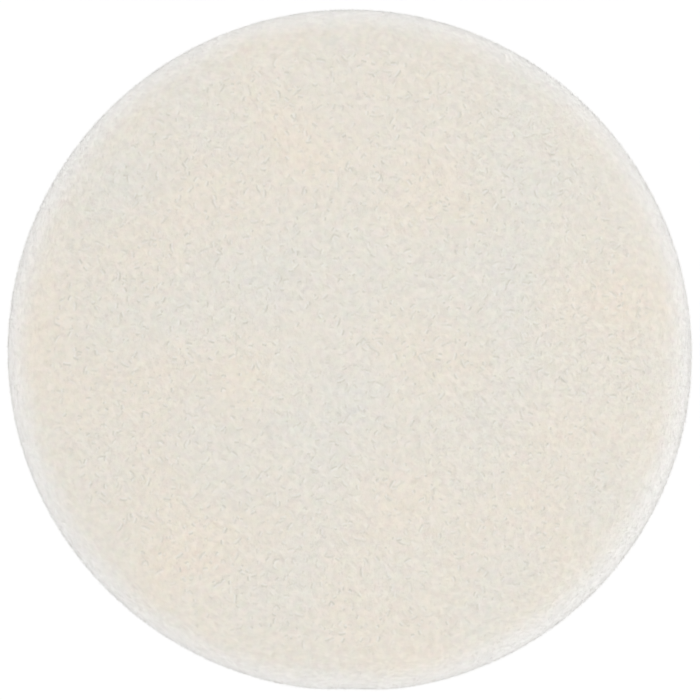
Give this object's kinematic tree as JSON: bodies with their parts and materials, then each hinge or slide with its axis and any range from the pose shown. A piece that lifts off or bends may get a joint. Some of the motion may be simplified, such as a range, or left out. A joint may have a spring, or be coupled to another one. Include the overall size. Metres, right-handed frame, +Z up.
{
  "type": "powder puff",
  "caption": "Round velour powder puff with a crowned powder face, a rolled rim and a satin finger band across its back.",
  "frame": {"origin": "under the middle of the puff, at the level of the finger band's underside, which the puff lies on", "axes": "+Z up, out of the powder face; X along the finger band; the closing stitches are at the -Y side"},
  "size_m": [0.0802, 0.0796, 0.0171],
  "materials": {
    "velour": "short dense off-white pile",
    "satin": "off-white satin weave",
    "foam": "soft open foam",
    "wadding": "loose white fibre",
    "thread": "off-white sewing thread"
  },
  "bodies": {
    "root": {"front_cover": "velour", "back_cover": "velour", "foam_core": "foam", "face_wadding": "wadding", "seam_needle_thread": "thread", "upper_looper_thread": "thread", "lower_looper_thread": "thread", "closing_thread": "thread", "finger_band": "satin"}
  },
  "joints": []
}
